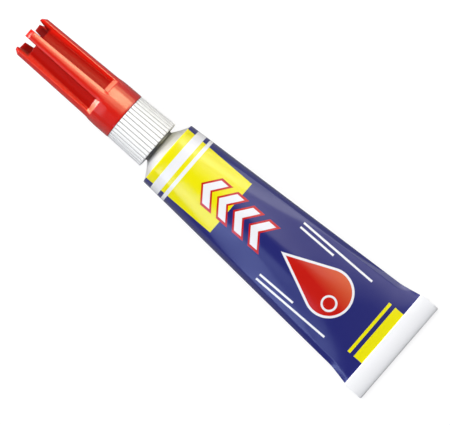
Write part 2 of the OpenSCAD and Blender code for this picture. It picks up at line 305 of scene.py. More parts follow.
class Field:
    """One number per shading point, so that a pattern can be written as a formula."""

    def __init__(self, graph: "Graph", socket: bpy.types.NodeSocket) -> None:
        """Keeps the graph and the socket that gives the number."""
        self.graph = graph
        self.socket = socket

    def math(self, operation: str, *others: "Field | float") -> "Field":
        """Adds one Math node.

        Args:
            operation: Blender's name of the operation.
            others: Its further inputs, as fields or plain numbers.

        Returns:
            The field at its output.
        """
        node = self.graph.nodes.new("ShaderNodeMath")
        node.operation = operation
        for slot, value in zip(node.inputs, (self, *others)):
            if isinstance(value, Field):
                self.graph.links.new(value.socket, slot)
            else:
                slot.default_value = value
        return Field(self.graph, node.outputs["Value"])

    def __add__(self, other: "Field | float") -> "Field":
        """Sum."""
        return self.math("ADD", other)

    def __sub__(self, other: "Field | float") -> "Field":
        """Difference."""
        return self.math("SUBTRACT", other)

    def __mul__(self, other: "Field | float") -> "Field":
        """Product."""
        return self.math("MULTIPLY", other)

    def __neg__(self) -> "Field":
        """Opposite."""
        return self.math("MULTIPLY", -1.0)

    def __and__(self, other: "Field") -> "Field":
        """Where both distances are inside: the larger one."""
        return self.math("MAXIMUM", other)

    def __or__(self, other: "Field") -> "Field":
        """Where either distance is inside: the smaller one."""
        return self.math("MINIMUM", other)

    def size(self) -> "Field":
        """Absolute value."""
        return self.math("ABSOLUTE")

    def strip(self, low: float, high: float) -> "Field":
        """Distance outside the stretch from low to high, negative inside it."""
        return (self - (low + high) / 2).size() - (high - low) / 2

    def inside(self, blur: float = 0.06) -> "Field":
        """Turns a distance into a mask.

        Args:
            blur: Width of the mask's soft edge, in millimetres.

        Returns:
            1 where the distance is negative and 0 where it is positive.
        """
        mask = self.math("MULTIPLY_ADD", -1.0 / blur, 0.5)
        mask.socket.node.use_clamp = True
        return mask

    def hypot(self, other: "Field") -> "Field":
        """Length of the hypotenuse of this and another field."""
        return (self * self + other * other).math("SQRT")


class Graph:
    """The nodes of one material, with the tube's own millimetres as coordinates."""

    def __init__(self, name: str, axes: TubeAxes) -> None:
        """Starts a material with one shader.

        Args:
            name: Name of the material.
            axes: The tube's axes, which the patterns follow.
        """
        self.material = bpy.data.materials.new(name)
        self.material.use_nodes = True
        self.nodes = self.material.node_tree.nodes
        self.links = self.material.node_tree.links
        self.nodes.clear()
        output = self.nodes.new("ShaderNodeOutputMaterial")
        self.shader = self.nodes.new("ShaderNodeBsdfPrincipled")
        self.links.new(self.shader.outputs["BSDF"], output.inputs["Surface"])
        coordinates = self.nodes.new("ShaderNodeTexCoord")
        mapping = self.nodes.new("ShaderNodeMapping")
        mapping.inputs["Scale"].default_value = (1 / MM, 1 / MM, 1 / MM)
        mapping.inputs["Rotation"].default_value = (0, axes.tilt, 0)
        mapping.inputs["Location"].default_value = axes.shift
        self.links.new(coordinates.outputs["Object"], mapping.inputs["Vector"])
        self.place = mapping.outputs["Vector"]
        split = self.nodes.new("ShaderNodeSeparateXYZ")
        self.links.new(self.place, split.inputs["Vector"])
        self.along, self.across, self.up = (Field(self, s) for s in split.outputs)

    def set(self, **values: float | tuple) -> None:
        """Sets constants on the shader, with underscores for the spaces in a socket's name."""
        for name, value in values.items():
            self.shader.inputs[name.replace("_", " ")].default_value = value

    def feed(self, name: str, source: "Field | bpy.types.NodeSocket") -> None:
        """Links a field or a colour to one of the shader's sockets."""
        self.links.new(getattr(source, "socket", source), self.shader.inputs[name])

    def noise(self, size: float, stretch: tuple = (1, 1, 1), detail: float = 2.0) -> Field:
        """Adds smooth noise.

        Args:
            size: Size of its largest features, in millimetres.
            stretch: How much finer it is along each of the tube's axes.
            detail: Number of finer layers.

        Returns:
            A field around 0.5.
        """
        scale = self.nodes.new("ShaderNodeMapping")
        scale.inputs["Scale"].default_value = stretch
        self.links.new(self.place, scale.inputs["Vector"])
        node = self.nodes.new("ShaderNodeTexNoise")
        node.inputs["Scale"].default_value = 1 / size
        node.inputs["Detail"].default_value = detail
        self.links.new(scale.outputs["Vector"], node.inputs["Vector"])
        return Field(self, node.outputs["Fac"])

    def mix(self, share: Field, first: "tuple | bpy.types.NodeSocket",
            second: "tuple | bpy.types.NodeSocket") -> bpy.types.NodeSocket:
        """Mixes two colours.

        Args:
            share: How much of the second colour shows, from 0 to 1.
            first: A colour or a colour socket.
            second: A colour or a colour socket.

        Returns:
            The mixed colour's socket.
        """
        node = self.nodes.new("ShaderNodeMix")
        node.data_type = "RGBA"
        self.links.new(share.socket, node.inputs["Factor"])
        for slot, value in zip((s for s in node.inputs if s.type == "RGBA"), (first, second)):
            if isinstance(value, tuple):
                slot.default_value = value
            else:
                self.links.new(value, slot)
        return next(s for s in node.outputs if s.type == "RGBA")

    def bump(self, height: Field, depth: float) -> None:
        """Bends the shader's normal.

        Args:
            height: Height of the skin, from 0 to 1.
            depth: Millimetres that a height of 1 stands for.
        """
        node = self.nodes.new("ShaderNodeBump")
        node.inputs["Distance"].default_value = depth * MM
        self.links.new(height.socket, node.inputs["Height"])
        self.feed("Normal", node.outputs["Normal"])


class Finish(ABC):
    """A finish that can make its own material."""

    name: str

    @abstractmethod
    def paint(self, graph: Graph) -> None:
        """Fills the material's graph."""

    def material(self, axes: TubeAxes) -> bpy.types.Material:
        """Makes the material.

        Args:
            axes: The tube's axes, which the patterns follow.

        Returns:
            The finished material.
        """
        graph = Graph(self.name, axes)
        self.paint(graph)
        return graph.material


@dataclass(frozen=True)
class PrintedSheet(Finish):
    """Lacquered aluminium: a blue ground with a print, and bare metal from the shoulder's edge on.

    Places and sizes of the print are millimetres along and across the tube. The grey band where the shoulder
    meets the neck is painted shade, for the gap under the collar.
    """

    name: str = "printed_sheet"
    blue: tuple = srgb(40, 43, 117)
    yellow: tuple = srgb(250, 240, 0)
    white: tuple = srgb(250, 250, 251)
    red: tuple = srgb(208, 26, 14)
    # painted highlight: orange laid on the red drop towards the side the light comes from
    drop_highlight_orange: tuple = srgb(236, 120, 66)
    metal: tuple = srgb(244, 243, 243)
    metal_share: float = 0.95
    # painted shade: grey band in the gap under the collar, where the shoulder meets the neck
    neck_gap_shade: tuple = srgb(140, 137, 135)
    neck_gap_shade_span: tuple = (57.92, 59.12)
    neck_gap_shade_blur: float = 0.3
    body_end: float = 56.2
    end_blur: float = 0.05
    seam_blur: float = 0.02
    join_blur: float = 0.01
    gloss: float = 0.85
    roughness: float = 0.13
    bare_roughness: float = 0.34
    cloud: float = 3.0
    cloud_share: float = 0.05
    dent: float = 14.0
    dent_stretch: tuple = (0.6, 1.0, 1.0)
    dent_depth: float = 0.12
    panel: tuple = (40.83, 57.0)
    panel_half_w: float = 5.83
    bands: tuple = ((51.10, 51.82), (52.66, 54.49))
    bars: tuple = ((4.0, 6.13), (6.99, 7.61))
    bar_half_w: float = 5.87
    drop_at: tuple = (17.2, 0.0)
    drop_r: float = 4.7
    drop_tip: float = 11.6
    highlight_off: float = 2.8
    highlight_slope: float = 0.15
    highlight_w: float = 7.0
    bubble_at: tuple = (15.9, 1.5)
    bubble_r: float = 1.35
    outline: float = 0.45
    chevrons: tuple = (46.6, 42.8, 39.0, 35.2)
    chevron_half_w: float = 2.7
    chevron_bar: float = 0.85
    chevron_slope: float = 0.75
    rules: tuple = ((6.7, 12.5, 29.0), (5.7, 21.0, 29.0))
    rule_half_t: float = 0.2
    label: tuple = (15.0, 42.0)
    label_half_w: float = 5.6
    label_pitch: float = 1.6
    label_lines: tuple = (17.0, 40.0)

    def drop(self, graph: Graph) -> Field:
        """Distance to a drop: a circle with two tangent lines that meet at its tip.

        Args:
            graph: The material's graph.

        Returns:
            The distance in millimetres, negative inside.
        """
        x = graph.along - self.drop_at[0]
        y = (graph.across - self.drop_at[1]).size()
        sine = self.drop_r / self.drop_tip
        cosine = math.sqrt(1 - sine * sine)
        circle = x.hypot(y) - self.drop_r
        line = (x - self.drop_tip) * sine + y * cosine
        on_line = (y * sine - x * cosine).inside(self.join_blur)
        return circle + (line - circle) * on_line

    def chevron(self, graph: Graph, tip: float) -> Field:
        """Distance to a chevron that points to the cap: a bent bar of even width.

        Args:
            graph: The material's graph.
            tip: Place of the bar's middle on the tube's axis.

        Returns:
            The distance in millimetres, negative inside.
        """
        y = graph.across.size()
        bar = (graph.along + y * self.chevron_slope - tip).size() - self.chevron_bar
        return bar & (y - self.chevron_half_w)

    def back(self, graph: Graph, colour: bpy.types.NodeSocket) -> bpy.types.NodeSocket:
        """Lays a white label with ruled lines on the back.

        Args:
            graph: The material's graph.
            colour: The print so far.

        Returns:
            The print with the label.
        """
        under = graph.up.inside(self.seam_blur)
        label = graph.along.strip(*self.label) & graph.across.strip(-self.label_half_w, self.label_half_w)
        colour = graph.mix(label.inside() * under, colour, self.white)
        row = (graph.across * (1 / self.label_pitch)).math("ROUND") * self.label_pitch
        line = (graph.across - row).size() - self.rule_half_t
        line = line & graph.along.strip(*self.label_lines) & (label + self.label_pitch / 2)
        return graph.mix(line.inside() * under, colour, self.blue)

    def paint(self, graph: Graph) -> None:
        """Lays the print down in the order in which it covers.

        Args:
            graph: The material's graph.
        """
        front = (-graph.up).inside(self.seam_blur)
        panel = graph.along.strip(*self.panel) & graph.across.strip(-self.panel_half_w, self.panel_half_w)
        colour = graph.mix(panel.inside() * front, self.blue, self.yellow)
        for low, high in self.bars:
            bar = graph.along.strip(low, high) & graph.across.strip(-self.bar_half_w, self.bar_half_w)
            colour = graph.mix(bar.inside() * front, colour, self.yellow)
        for low, high in self.bands:
            colour = graph.mix(graph.along.strip(low, high).inside(), colour, self.white)
        drop = self.drop(graph)
        # painted highlight: the drop turns from red to orange towards negative across
        glow = (graph.along - self.drop_at[0]) * self.highlight_slope + graph.across + self.highlight_off
        glow = glow.inside(self.highlight_w)
        colour = graph.mix(drop.inside() * front, colour, self.white)
        drop_red_and_highlight = graph.mix(glow, self.red, self.drop_highlight_orange)
        colour = graph.mix((drop + self.outline).inside() * front, colour, drop_red_and_highlight)
        bubble = (graph.along - self.bubble_at[0]).hypot(graph.across - self.bubble_at[1]) - self.bubble_r
        colour = graph.mix((bubble.size() - self.rule_half_t).inside() * front, colour, self.white)
        for tip in self.chevrons:
            chevron = self.chevron(graph, tip)
            colour = graph.mix((chevron - self.outline).inside() * front, colour, self.red)
            colour = graph.mix(chevron.inside() * front, colour, self.white)
        for across, low, high in self.rules:
            rule = graph.across.size().strip(across - self.rule_half_t, across + self.rule_half_t)
            rule = rule & graph.along.strip(low, high)
            colour = graph.mix(rule.inside() * front, colour, self.white)
        colour = self.back(graph, colour)
        bare = (-graph.along + self.body_end).inside(self.end_blur)
        colour = graph.mix(bare, colour, self.metal)
        # painted shade: a grey band in the gap under the collar, where the shoulder meets the neck
        colour = graph.mix(graph.along.strip(*self.neck_gap_shade_span).inside(self.neck_gap_shade_blur), colour, self.neck_gap_shade)
        cloud = graph.noise(self.cloud) * self.cloud_share
        graph.set(Specular_IOR_Level=self.gloss)
        graph.feed("Base Color", colour)
        graph.feed("Metallic", bare * self.metal_share)
        graph.feed("Roughness", cloud + bare * self.bare_roughness + self.roughness)
        graph.bump(graph.noise(self.dent, self.dent_stretch, detail=1.0), self.dent_depth)


@dataclass(frozen=True)
class Moulded(Finish):
    """Moulded plastic or lacquer: one colour that varies a little, with a faintly uneven skin."""

    name: str
    colour: tuple
    shade: tuple
    roughness: float
    grain: float = 1.6
    skin: float = 0.01
    gloss: float = 0.5
    cloud_grains: float = 4.0
    wear_grains: float = 2.0
    wear: float = 0.1

    def paint(self, graph: Graph) -> None:
        """Varies colour, roughness and height with one noise each.

        Args:
            graph: The material's graph.
        """
        graph.set(Specular_IOR_Level=self.gloss)
        cloud = graph.noise(self.grain * self.cloud_grains)
        graph.feed("Base Color", graph.mix(cloud, self.colour, self.shade))
        graph.feed("Roughness", graph.noise(self.grain * self.wear_grains) * self.wear + self.roughness)
        graph.bump(graph.noise(self.grain), self.skin)


@dataclass(frozen=True)
class RibbedPlastic(Moulded):
    """Moulded plastic with painted shade, a grey tone, down in the grooves between its ribs."""

    # painted shade down in the grooves between the ribs
    groove: tuple = srgb(162, 158, 155)
    groove_shade_share: float = 0.11
    ribbed: tuple = (58.4, 66.5)
    end_blur: float = 0.2

    def paint(self, graph: Graph) -> None:
        """Lays the painted shade of the grooves over the plain plastic.

        Args:
            graph: The material's graph.
        """
        super().paint(graph)
        place = graph.across.math("ARCTAN2", graph.up) * (RIB_COUNT / math.tau)
        line = (place.math("FRACT") - 0.5).size() - self.groove_shade_share
        mask = line.inside(2 * self.groove_shade_share) * graph.along.strip(*self.ribbed).inside(self.end_blur)
        plain = graph.shader.inputs["Base Color"].links[0].from_socket
        # painted shade in the grooves
        graph.feed("Base Color", graph.mix(mask, plain, self.groove))


@dataclass(frozen=True)
class FinnedPlastic(Moulded):
    """Moulded plastic, duller down in the flutes, with painted shade in the flutes and inside the crown, and
    a painted highlight on the slopes where the flutes end.
    """

    # painted shade down in the flutes, near the core
    flute_shade: tuple = srgb(172, 16, 8)
    # painted shade inside the crown of prongs
    dark: tuple = srgb(112, 9, 6)
    # painted highlight on the slopes where the flutes end
    slope_highlight: tuple = srgb(238, 150, 112)
    slope_highlight_share: float = 0.6
    slope: tuple = (71.52, 72.36)
    slope_blur: float = 0.15
    fin_half_share: float = 0.2
    core: tuple = ((72.0, 3.85), (87.1, 3.15))
    crown_r: float = 3.72
    crown_h: float = 9.0
    fade: float = 0.5
    polished: tuple = ((72.45, 4.47), (88.8, 4.17))
    flute_gloss: float = 0.08
    gloss_blur: float = 0.12

    def under(self, graph: Graph, line: tuple, extra: float = 0.0) -> Field:
        """Distance to the space under a straight taper.

        Args:
            graph: The material's graph.
            line: Place and radius of the taper's two ends.
            extra: How much further than its second end the space goes on.

        Returns:
            The distance in millimetres, negative inside.
        """
        (low, low_r), (high, high_r) = line
        taper = (graph.along - low) * ((high_r - low_r) / (high - low)) + low_r
        return (graph.across.hypot(graph.up) - taper) & graph.along.strip(low, high + extra)

    def paint(self, graph: Graph) -> None:
        """Lays painted shade near the core and inside the crown, and a painted highlight on the slopes.

        Args:
            graph: The material's graph.
        """
        super().paint(graph)
        flute = self.under(graph, self.core) - self.fade / 2
        rim = self.core[1][0]
        crown = (graph.across.hypot(graph.up) - self.crown_r) & graph.along.strip(rim, rim + self.crown_h)
        place = graph.across.math("ARCTAN2", graph.up) * (FIN_COUNT / math.tau)
        place = place - FIN_TURN * FIN_COUNT / 360
        beside = -((place - place.math("ROUND")).size() - self.fin_half_share)
        slope = beside * (math.tau * self.crown_r / FIN_COUNT) & graph.along.strip(*self.slope)
        hollow = self.under(graph, self.polished, self.crown_h)
        colour = graph.shader.inputs["Base Color"].links[0].from_socket
        # painted shade in the flutes
        colour = graph.mix(flute.inside(self.fade), colour, self.flute_shade)
        # painted shade inside the crown
        colour = graph.mix(crown.inside(self.fade), colour, self.dark)
        # painted highlight on the slopes
        colour = graph.mix(slope.inside(self.slope_blur) * self.slope_highlight_share, colour, self.slope_highlight)
        dull = hollow.inside(self.gloss_blur)
        graph.feed("Base Color", colour)
        graph.feed("Specular IOR Level", dull * (self.flute_gloss - self.gloss) + self.gloss)


@dataclass(frozen=True)
class Metal(Finish):
    """Bare metal with fine lines around the tube's axis."""

    name: str
    colour: tuple
    shade: tuple
    roughness: float
    ring: float = 0.2
    ring_stretch: tuple = (1.0, 0.02, 0.02)
    wear: float = 0.15

    def paint(self, graph: Graph) -> None:
        """Lets fine rings along the axis vary colour and roughness.

        Args:
            graph: The material's graph.
        """
        rings = graph.noise(self.ring, self.ring_stretch)
        graph.feed("Base Color", graph.mix(rings, self.colour, self.shade))
        graph.feed("Roughness", rings * self.wear + self.roughness)
        graph.set(Metallic=1.0)


@dataclass(frozen=True)
class Liquid(Finish):
    """Clear glue with faint clouds."""

    name: str
    colour: tuple
    shade: tuple
    cloud: float = 6.0
    film: float = 4.0
    film_share: float = 0.05
    roughness: float = 0.03
    clearness: float = 0.85
    bending: float = 1.45

    def paint(self, graph: Graph) -> None:
        """Sets a clear body and a faintly clouded colour.

        Args:
            graph: The material's graph.
        """
        graph.feed("Base Color", graph.mix(graph.noise(self.cloud), self.colour, self.shade))
        graph.feed("Roughness", graph.noise(self.film) * self.film_share + self.roughness)
        graph.set(Transmission_Weight=self.clearness, IOR=self.bending)


@dataclass
class Piece(ABC):
    """A piece that is modelled here in place of a CAD node."""

    axes: TubeAxes
    finish: Finish
    node: str = ""
    body: str = ""
    slot: str = ""

    @abstractmethod
    def surface(self) -> Surface:
        """Computes the piece's surface."""

    def build(self) -> bpy.types.Object:
        """Builds the mesh, dresses it, ties it to its body and hides the CAD node that it stands in for.

        Returns:
            The finished object.
        """
        shape = self.surface().build(self.node + "_look")
        shape.data.materials.append(self.finish.material(self.axes))
        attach(shape, self.body)
        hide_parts(self.node)
        log.info("%s: %d faces", shape.name, len(shape.data.polygons))
        return shape


@dataclass(frozen=True)
class BodyShape:
    """The squeezed body: round at the shoulder and flat at the tail."""

    body_r: float = 6.75
    fold_len: float = 4.1
    body_len: float = 52.1
    tail_half_h: float = 0.45
    flare_len: float = 4.2
    flare_w: float = 0.55
    flare_curve: float = 1.2
    crease: float = 0.66
    rim_share: float = 0.2

    @property
    def edge(self) -> float:
        """Place of the shoulder's edge."""
        return self.fold_len + self.body_len

    @property
    def flat_half_w(self) -> float:
        """Half width of the sleeve where it is pressed flat: a quarter of its girth."""
        return math.pi * self.body_r / 2

    def way(self, along: np.ndarray) -> np.ndarray:
        """Share of the way from the shoulder to the fold."""
        return np.clip((self.edge - along) / self.body_len, 0, 1)

    def half_h(self, along: np.ndarray) -> np.ndarray:
        """Half height of the section: a straight taper."""
        return self.body_r + (self.tail_half_h - self.body_r) * self.way(along)

    def flat(self, along: np.ndarray) -> np.ndarray:
        """Half width of the section's flat part: a straight taper with the tail's flare added."""
        flare = np.clip(1 - (along - self.fold_len) / self.flare_len, 0, 1) ** self.flare_curve
        return (self.flat_half_w - self.flare_w - self.tail_half_h) * self.way(along) + self.flare_w * flare

    def across(self, along: np.ndarray, half_h: np.ndarray, angle: np.ndarray) -> np.ndarray:
        """Sideways place on the section: the flat part spread evenly over the angle, plus the round part.

        This is the ruled sheet between a round end and a flat one. Towards each side edge, from the share
        named crease on, the spread goes on at its rim share only, so that the sheet bends down to the edge.

        Args:
            along: Millimetres from the tail end.
            half_h: Half height there.
            angle: Angle from up towards across, in radians.

        Returns:
            Millimetres across.
        """
        lean = np.arcsin(np.sin(angle)) / (math.pi / 2)
        rim = np.maximum(np.abs(lean) - self.crease, 0)
        spread = np.minimum(np.abs(lean), self.crease) + self.rim_share * rim
        spread = spread / (self.crease + self.rim_share * (1 - self.crease)) * np.sign(lean)
        return self.flat(along) * spread + half_h * np.sin(angle)


@dataclass
class TubeShell(Piece):
    """The squeezed sleeve with its shoulder and threaded neck."""

    node: str = "tube_shell"
    body: str = "tube"
    slot: str = "printed_sheet"
    shape: BodyShape = BodyShape()
    columns: int = 192
    tuck: float = 0.4
    edge_r: float = 0.5
    shoulder_h: float = 1.95
    shoulder_curve: float = 1.3
    shoulder_steps: int = 12
    land_r: float = 3.37
    land_h: float = 0.75
    root_r: float = 2.85
    mouth: float = 63.22
    bore_r: float = 2.1
    bore_depth: float = 1.2
    thread: Thread = Thread(first=59.4, length=3.32, height=0.45)

    def meridian(self) -> tuple[np.ndarray, np.ndarray, np.ndarray]:
        """Follows the half height from the tucked tail over shoulder and neck into the bore.

        Returns:
            Places along the axis, half heights and relief numbers.
        """
        edge, body_r = self.shape.edge, self.shape.body_r
        foot = edge + self.shoulder_h
        land = foot + self.land_h
        shares = np.arange(1, self.shoulder_steps) / self.shoulder_steps
        slope = [
            Corner(edge + self.shoulder_h * s**self.shoulder_curve, body_r + (self.land_r - body_r) * s)
            for s in shares
        ]
        return trace([
            Corner(self.shape.fold_len - self.tuck, self.shape.tail_half_h, step=0.6),
            Corner(edge, body_r, self.edge_r),
            *slope,
            Corner(foot, self.land_r, fillet=0.2, step=0.2),
            Corner(land, self.land_r, fillet=0.08),
            Corner(land, self.root_r, fillet=0.08, step=0.05, relief=Relief.OUTER_THREAD),
            Corner(self.mouth, self.root_r, fillet=0.12),
            Corner(self.mouth, self.bore_r, fillet=0.12, step=0.3),
            Corner(self.mouth - self.bore_depth, self.bore_r),
        ])

    def surface(self) -> Surface:
        """Sweeps the body's section, with up as the half height times the cosine of the angle.

        Returns:
            The closed surface from the tucked tail to the bore's floor.
        """
        along, half_h, relief = (a[:, None] for a in self.meridian())
        angle = np.linspace(-math.pi, math.pi, self.columns, endpoint=False)[None, :]
        half_h = half_h + np.where(relief == Relief.OUTER_THREAD.value, self.thread.rise(along, angle), 0)
        across = self.shape.across(along, half_h, angle)
        return Surface(self.axes.place(along, across, half_h * np.cos(angle)))


@dataclass
class GlueFill(Piece):
    """The glue that lies in the tube, with a level top."""

    node: str = "glue_fill"
    body: str = "tube"
    slot: str = "glue"
    shape: BodyShape = BodyShape()
    columns: int = 96
    rows: int = 60
    wall: float = 0.3
    level: float = 5.0
    tail_gap: float = 1.6

    def surface(self) -> Surface:
        """Fills the body's section inside the sheet, with every point kept at or below the level.

        Returns:
            The closed surface of the pool.
        """
        ends = self.shape.fold_len + self.tail_gap, self.shape.edge - self.wall
        along = np.linspace(*ends, self.rows)[:, None]
        angle = np.linspace(-math.pi, math.pi, self.columns, endpoint=False)[None, :]
        half_h = self.shape.half_h(along) - self.wall
        across = self.shape.across(along, half_h, angle)
        top = (self.level - self.axes.origin[2] - along * self.axes.along[2]) / self.axes.up[2]
        return Surface(self.axes.place(along, across, np.minimum(half_h * np.cos(angle), top)))


@dataclass
class TailFold(Piece):
    """The folded tail: a bar of layers with a round outer edge."""

    node: str = "tail_fold"
    body: str = "tube"
    slot: str = "white_fold"
    shape: BodyShape = BodyShape()
    half_t: float = 0.6
    overhang: float = 0.3
    corner_r: float = 0.3
    lip_r: float = 0.2
    nose: float = 3.4
    nose_steps: int = 24
    slit_at: float = 0.2
    slit_half_t: float = 0.03
    slit_depth: float = 3.3
    corner_steps: int = 6
    span_steps: int = 24

    def outline(self) -> tuple[np.ndarray, np.ndarray]:
        """Outline of the layers seen from the side: round at the tail, with two slits towards the body.

        Returns:
            Places along the axis and heights, in order around the outline.
        """
        end = self.shape.fold_len
        inner = end - self.slit_depth
        slits = [
            Corner(along, side * self.slit_at + way * self.slit_half_t)
            for side in (-1, 1)
            for along, way in ((end, -1), (inner, -1), (inner, 1), (end, 1))
        ]
        turn = np.linspace(math.pi / 2, -math.pi / 2, self.nose_steps)
        nose = [Corner(self.nose * (1 - math.cos(q)), self.half_t * math.sin(q)) for q in turn]
        along, up, _ = trace([
            Corner(end, self.half_t, self.lip_r, step=0.5),
            *nose,
            Corner(end, -self.half_t, self.lip_r),
            *slits,
        ], looped=True)
        return along, up

    def surface(self) -> Surface:
        """Sweeps the outline across the tube, pulled in along an arc at each outer corner.

        Returns:
            The closed surface of the bar.
        """
        along, up = self.outline()
        q = np.linspace(0, math.pi / 2, self.corner_steps)
        half_w = self.shape.flat_half_w + self.overhang
        side = half_w - self.corner_r + self.corner_r * np.sin(q)
        inset = self.corner_r * (1 - np.cos(q))
        middle = np.linspace(-side[0], side[0], self.span_steps)[1:-1]
        across = np.concatenate([-side[::-1], middle, side])[:, None]
        cut = np.concatenate([inset[::-1], 0 * middle, inset])[:, None]
        pulled = cut + along * (1 - cut / self.shape.fold_len)
        return Surface(self.axes.place(pulled, across, up), Ends.FACES)


@dataclass
class Nozzle(Piece):
    """The white moulding: ribbed collar, threaded boss and spout."""

    node: str = "nozzle"
    body: str = "nozzle"
    slot: str = "white_plastic"
    foot: float = 58.58
    height: float = 7.94
    low_r: float = 4.99
    top_r: float = 4.77
    bore_r: float = 3.5
    groove_h: float = 0.15
    groove_half_w: float = 0.17
    groove_steps: int = 7
    rib_steps: int = 5
    boss_h: float = 3.6
    boss_r: float = 2.85
    web_t: float = 1.9
    spike_len: float = 1.1
    spike_base_r: float = 1.0
    spike_tip_r: float = 0.65
    spout_base_r: float = 2.4
    spout_tip_r: float = 0.95
    spout_end: float = 84.32
    channel_r: float = 1.2
    orifice_r: float = 0.45
    orifice_len: float = 3.4
    web_hole_share: float = 0.6
    boss_thread: Thread = Thread(first=67.02, length=2.6, height=0.45, starts=2)
    collar_thread: Thread = Thread(first=60.05, length=2.02, height=0.45)

    @property
    def top(self) -> float:
        """Upper end of the collar."""
        return self.foot + self.height

    def angles(self) -> np.ndarray:
        """Angles of the columns, crowded at the grooves between the ribs.

        Returns:
            Angles from up towards across, in radians, once around the collar.
        """
        half = math.degrees(self.groove_half_w / self.low_r)
        pitch = 360 / RIB_COUNT
        inside = half * np.linspace(-1, 1, self.groove_steps)
        between = half + (pitch - 2 * half) * np.linspace(0, 1, self.rib_steps)[1:-1]
        one = np.concatenate([inside, between])
        return np.radians(((np.arange(RIB_COUNT)[:, None] + 0.5) * pitch + one).ravel())

    def meridian(self) -> tuple[np.ndarray, np.ndarray, np.ndarray]:
        """Follows the moulding's section: up its outside, down the channel and out through the bore.

        Returns:
            Places along the axis, radii and relief numbers.
        """
        boss_top = self.top + self.boss_h
        web = self.top - self.web_t
        hole = web + self.web_hole_share * self.web_t
        spike = web - self.spike_len
        return trace([
            Corner(self.foot, self.bore_r, fillet=0.08),
            Corner(self.foot, self.low_r, fillet=0.12, step=0.2, relief=Relief.RIBS),
            Corner(self.top, self.top_r, fillet=0.1),
            Corner(self.top, self.boss_r, fillet=0.12, step=0.08, relief=Relief.OUTER_THREAD),
            Corner(boss_top, self.boss_r, fillet=0.15),
            Corner(boss_top, self.spout_base_r, fillet=0.2, step=1.0),
            Corner(self.spout_end, self.spout_tip_r, fillet=0.25),
            Corner(self.spout_end, self.orifice_r, fillet=0.1),
            Corner(self.spout_end - self.orifice_len, self.orifice_r, fillet=0.3),
            Corner(boss_top, self.channel_r, fillet=0.3),
            Corner(hole, self.channel_r, fillet=0.1),
            Corner(hole, self.orifice_r, fillet=0.1),
            Corner(spike, self.orifice_r, fillet=0.06),
            Corner(spike, self.spike_tip_r, fillet=0.08),
            Corner(web, self.spike_base_r, fillet=0.1),
            Corner(web, self.bore_r, fillet=0.12, step=0.1, relief=Relief.INNER_THREAD),
        ], looped=True)

    def surface(self) -> Surface:
        """Turns the section, with grooves cut and ridges raised along the radius.

        A groove is a raised cosine across its width. It runs from the collar's lower rim to its top.

        Returns:
            The closed surface of the moulding.
        """
        along, radius, relief = (a[:, None] for a in self.meridian())
        angle = self.angles()[None, :]
        pitch = math.tau / RIB_COUNT
        off = (angle - pitch * (np.floor(angle / pitch) + 0.5)) * self.low_r
        groove = self.groove_h * (0.5 + 0.5 * np.cos(math.pi * np.clip(off / self.groove_half_w, -1, 1)))
        boss, collar = self.boss_thread.rise(along, angle), self.collar_thread.rise(along, angle)
        radius = radius - np.where(relief == Relief.RIBS.value, groove, 0)
        radius = radius + np.where(relief == Relief.OUTER_THREAD.value, boss, 0)
        radius = radius - np.where(relief == Relief.INNER_THREAD.value, collar, 0)
        return Surface(self.axes.turn(along, radius, angle), Ends.LOOP)


